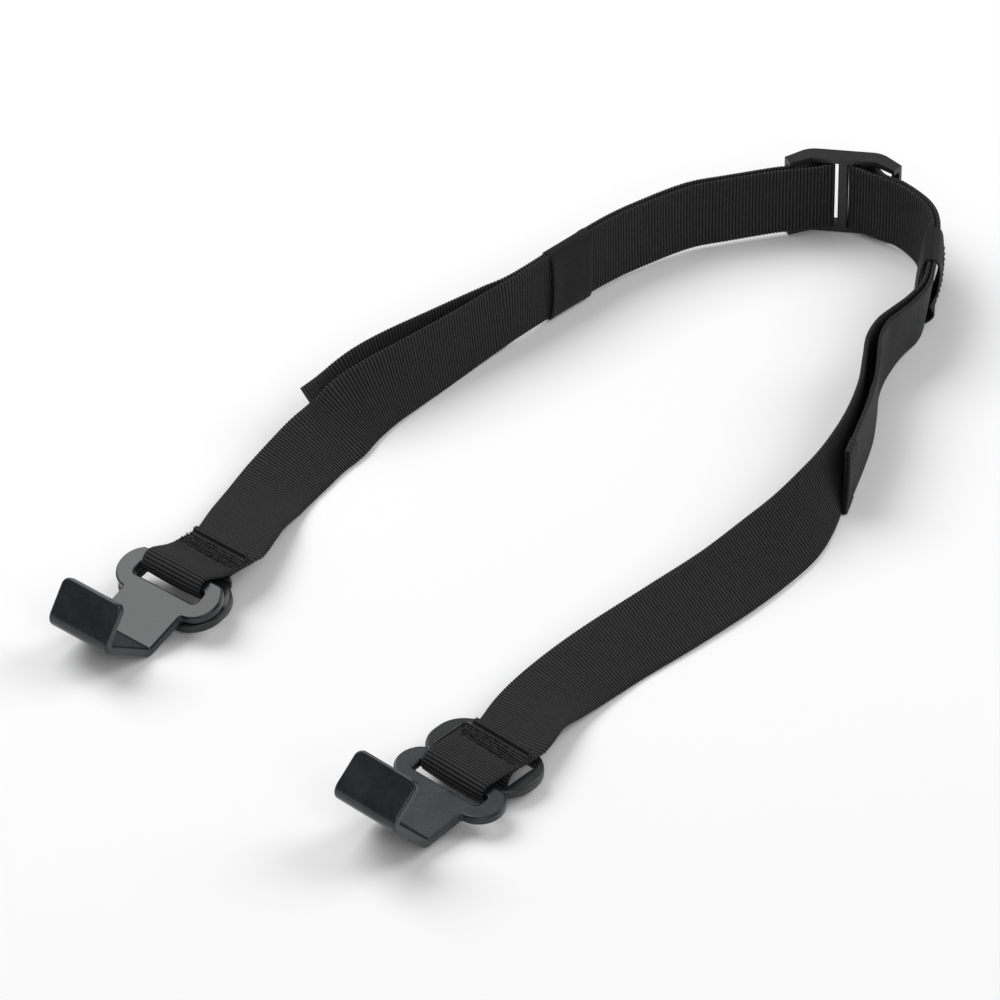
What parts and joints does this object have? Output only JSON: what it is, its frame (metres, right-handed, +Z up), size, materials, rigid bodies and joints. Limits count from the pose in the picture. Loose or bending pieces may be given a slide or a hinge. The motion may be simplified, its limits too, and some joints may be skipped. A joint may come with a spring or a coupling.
{
  "type": "adjustable webbing strap with hooks",
  "caption": "Adjustable ribbed webbing strap: a moulded double adjuster joins two arms, each with a woven keeper, a free tail, a coated J hook and a loose moulded ring.",
  "frame": {"origin": "middle of the footprint at floor level, the strap lying on the floor", "axes": "+Z up, +Y from the hooks towards the adjuster, +X to the right seen from the hooks"},
  "size_m": [0.2959, 0.3719, 0.0327],
  "materials": {
    "webbing": "ribbed woven nylon, matte",
    "keeper_webbing": "fine woven nylon, matte",
    "thread": "twisted thread, matte",
    "adjuster_plastic": "moulded, semi-matte",
    "ring_plastic": "moulded, semi-matte",
    "hook_coating": "thick dipped coating, glossy",
    "hook_steel": "bare steel under the coating"
  },
  "bodies": {
    "adjuster": {"adjuster_frame": "adjuster_plastic", "left_adjuster_turn": "webbing", "right_adjuster_turn": "webbing"},
    "left_arm": {"left_main_run": "webbing", "left_tail": "webbing", "left_hook_seam": "thread", "left_tail_hem": "thread"},
    "left_sleeve": {"left_keeper": "keeper_webbing", "left_keeper_stitches": "thread"},
    "left_hook": {"left_hook_core": "hook_steel", "left_hook_coating": "hook_coating"},
    "left_loop": {"left_ring": "ring_plastic"},
    "right_arm": {"right_main_run": "webbing", "right_tail": "webbing", "right_hook_seam": "thread", "right_tail_hem": "thread"},
    "right_sleeve": {"right_keeper": "keeper_webbing", "right_keeper_stitches": "thread"},
    "right_hook": {"right_hook_core": "hook_steel", "right_hook_coating": "hook_coating"},
    "right_loop": {"right_ring": "ring_plastic"}
  },
  "joints": [
    {"name": "left_arm_bend", "type": "hinge", "parent": "adjuster", "child": "left_arm", "pos_m": [0.09387, 0.17699, 0.0147], "axis": [0, 0, 1], "range_deg": [-20, 6]},
    {"name": "left_keeper_slide", "type": "slide", "parent": "left_arm", "child": "left_sleeve", "axis": [0.6766, 0.7363, 0], "range_m": [-0.014, 0.009]},
    {"name": "left_hook_swing", "type": "hinge", "parent": "left_arm", "child": "left_hook", "pos_m": [-0.107, -0.0405, 0.0124], "axis": [-0.7431, 0.6691, 0], "range_deg": [0, 70]},
    {"name": "left_ring_swing", "type": "hinge", "parent": "left_arm", "child": "left_loop", "pos_m": [-0.10209, -0.03415, 0.0076], "axis": [-0.7431, 0.6691, 0], "range_deg": [-75, 0]},
    {"name": "right_arm_bend", "type": "hinge", "parent": "adjuster", "child": "right_arm", "pos_m": [0.12963, 0.16954, 0.0147], "axis": [0, 0, 1], "range_deg": [-6, 20]},
    {"name": "right_keeper_slide", "type": "slide", "parent": "right_arm", "child": "right_sleeve", "axis": [0.0933, 0.9956, 0], "range_m": [-0.003, 0.005]},
    {"name": "right_hook_swing", "type": "hinge", "parent": "right_arm", "child": "right_hook", "pos_m": [-0.01619, -0.14348, 0.00789], "axis": [-0.7421, 0.6682, 0.0523], "range_deg": [-8, 70]},
    {"name": "right_ring_swing", "type": "hinge", "parent": "right_arm", "child": "right_loop", "pos_m": [-0.01539, -0.13788, 0.00515], "axis": [-0.7421, 0.6682, 0.0523], "range_deg": [0, 75]}
  ]
}
